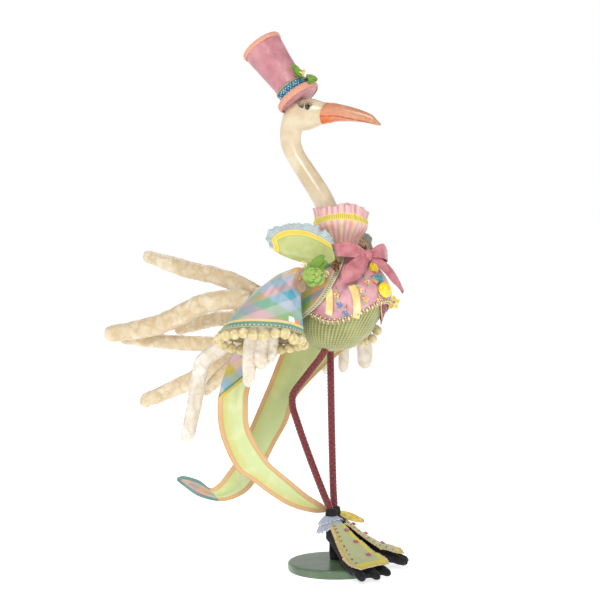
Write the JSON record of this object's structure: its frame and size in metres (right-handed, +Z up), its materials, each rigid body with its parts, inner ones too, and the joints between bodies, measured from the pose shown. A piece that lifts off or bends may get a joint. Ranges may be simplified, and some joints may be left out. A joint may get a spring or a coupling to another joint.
{
  "type": "stork figurine",
  "caption": "Dressed display stork standing on a round green stand, with a top hat, long curved neck and bill, ruff, tail coat with ball-fringed sleeves, stuffed tail feathers and cord legs.",
  "frame": {"origin": "centre of the underside of the round stand", "axes": "+X the way the bird faces, +Y its left, +Z up"},
  "size_m": [0.4864, 0.2775, 0.7416],
  "materials": {
    "stand_green": "glossy green paint",
    "leg_cord": "braided maroon cord",
    "shoe_velvet": "black velvet",
    "spat_check": "green check cotton",
    "ankle_lace": "pale blue-grey lace",
    "body_check": "olive seersucker check",
    "waistcoat_satin": "pink embroidered satin",
    "gold_beads": "gold and white beads on ribbon",
    "head_cream": "pearly cream paint, salmon bill",
    "lash_black": "black lashes",
    "hat_satin": "dusty rose satin",
    "sequin_blue": "blue sequins",
    "braid_peach": "peach and gold braid",
    "leaf_green": "green cloth leaf",
    "ruff_pink": "pleated pink and yellow satin",
    "bow_satin": "pink satin ribbon",
    "coat_plaid": "pastel plaid silk",
    "collar_satin": "yellow-green satin with lace",
    "ball_fringe": "cream ball fringe",
    "feather_satin": "cream satin",
    "tail_satin": "plaid silk lined in yellow-green satin",
    "petal_green": "pale green petals",
    "nut_brown": "dried nut and flower",
    "flap_maroon": "maroon velvet",
    "yellow_cloth": "yellow satin",
    "teal_ribbon": "teal ribbon"
  },
  "bodies": {
    "root": {"ankle_ruffle_left": "ankle_lace", "ankle_ruffle_right": "ankle_lace", "ball_fringe_left": "ball_fringe", "ball_fringe_right": "ball_fringe", "base_disc": "stand_green", "bead_hem": "gold_beads", "body": "body_check", "bow": "bow_satin", "coat_back": "coat_plaid", "coat_tail_left": "tail_satin", "coat_tail_right": "tail_satin", "collar_petal_left": "collar_satin", "collar_petal_right": "collar_satin", "dried_flower": "nut_brown", "eyelashes_left": "lash_black", "eyelashes_right": "lash_black", "hat_band": "sequin_blue", "hat_brim_braid": "braid_peach", "hat_flower": "yellow_cloth", "hat_leaf_1": "leaf_green", "hat_leaf_2": "leaf_green", "hat_top_braid": "leaf_green", "head_and_neck": "head_cream", "hydrangea": "petal_green", "leg_left": "leg_cord", "leg_right": "leg_cord", "neck_ruff": "ruff_pink", "nut": "nut_brown", "posy_leaf": "leaf_green", "ribbon_knot": "teal_ribbon", "shoe_left": "shoe_velvet", "shoe_right": "shoe_velvet", "sleeve_left": "coat_plaid", "sleeve_right": "coat_plaid", "spat_left": "spat_check", "spat_right": "spat_check", "star_flower": "yellow_cloth", "tail_feather_1": "feather_satin", "tail_feather_2": "feather_satin", "tail_feather_3": "feather_satin", "tail_feather_4": "feather_satin", "tail_feather_5": "feather_satin", "tail_feather_6": "feather_satin", "tail_feather_7": "feather_satin", "tail_hub": "feather_satin", "top_hat": "hat_satin", "waistcoat": "waistcoat_satin", "waistcoat_flap": "flap_maroon", "wing_feathers_left": "feather_satin", "wing_feathers_right": "feather_satin", "yellow_button": "yellow_cloth", "yellow_rose": "yellow_cloth"}
  },
  "joints": []
}
